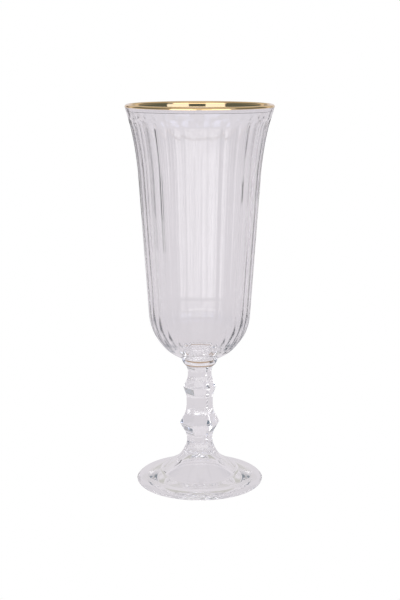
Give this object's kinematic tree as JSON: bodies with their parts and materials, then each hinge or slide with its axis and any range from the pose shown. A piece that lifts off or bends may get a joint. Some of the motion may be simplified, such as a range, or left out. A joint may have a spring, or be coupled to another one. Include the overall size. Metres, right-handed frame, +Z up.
{
  "type": "champagne flute",
  "caption": "Stemmed champagne flute: tall fluted glass bowl with a flared gilded lip, faceted knopped stem and round domed foot.",
  "frame": {"origin": "centre of the plane that the foot rests on", "axes": "+Z up along the axis of the glass, -Y the front seen in the picture, +X to the right of it"},
  "size_m": [0.0724, 0.0724, 0.19],
  "materials": {
    "bowl_glass": "clear polished soda-lime glass",
    "gilding": "bright fired gold film",
    "collar_glass": "clear polished soda-lime glass",
    "stem_glass": "clear pressed soda-lime glass",
    "foot_glass": "clear pressed soda-lime glass"
  },
  "bodies": {
    "root": {"bowl": "bowl_glass", "rim_gilding": "gilding", "collar": "collar_glass", "stem": "stem_glass", "foot": "foot_glass"}
  },
  "joints": []
}
